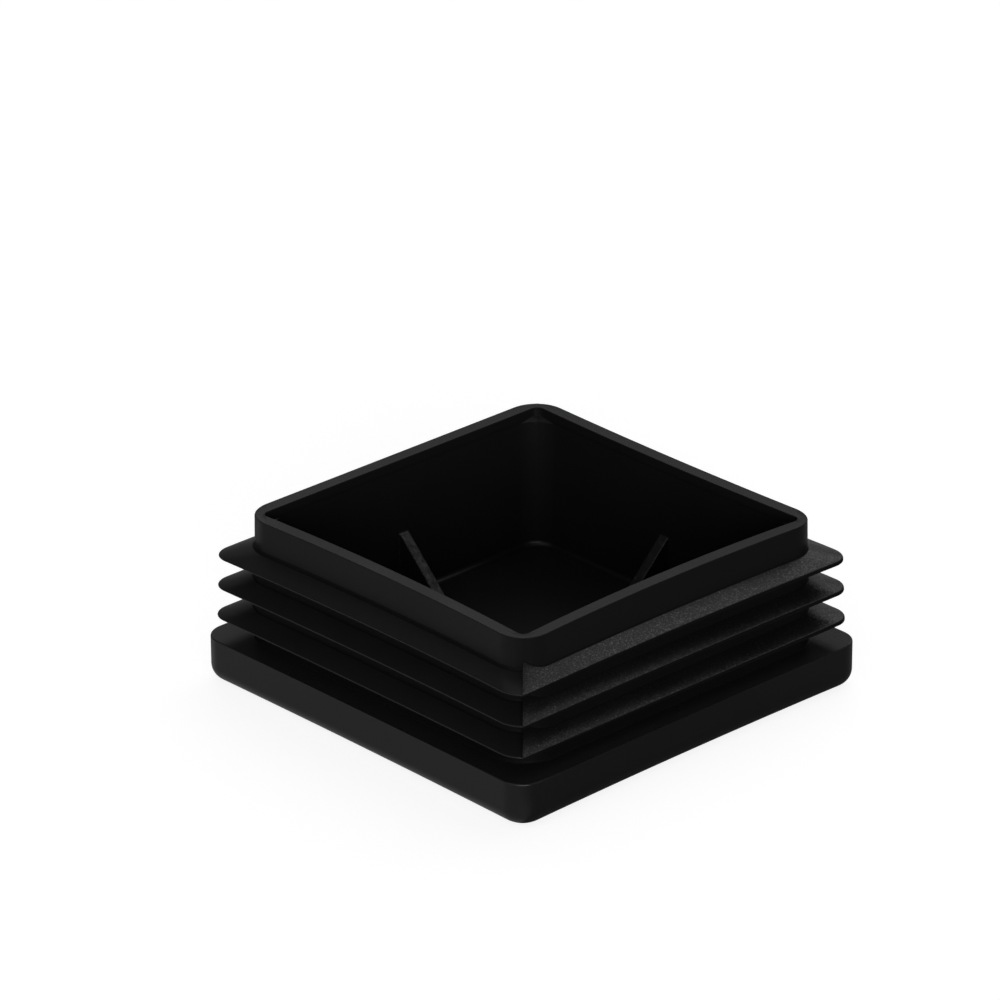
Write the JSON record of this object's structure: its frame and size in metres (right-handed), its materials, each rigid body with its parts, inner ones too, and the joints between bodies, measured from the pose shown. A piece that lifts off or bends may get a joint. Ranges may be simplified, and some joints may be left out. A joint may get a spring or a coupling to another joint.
{
  "type": "tube end cap",
  "caption": "Square push-in tube end cap: flat head with a rounded edge and a hollow plug whose thin fins grip the inside of the tube.",
  "frame": {"origin": "centre of the head's flat outer face", "axes": "+Z along the plug, from the head's outer face towards the open end; +X and +Y square to two neighbouring sides"},
  "size_m": [0.05, 0.05, 0.0192],
  "materials": {
    "black_polyethylene": "black moulded polyethylene, smooth on the head's sides and the rim, finely spark-eroded on the fins"
  },
  "bodies": {
    "root": {"end_cap": "black_polyethylene"}
  },
  "joints": []
}
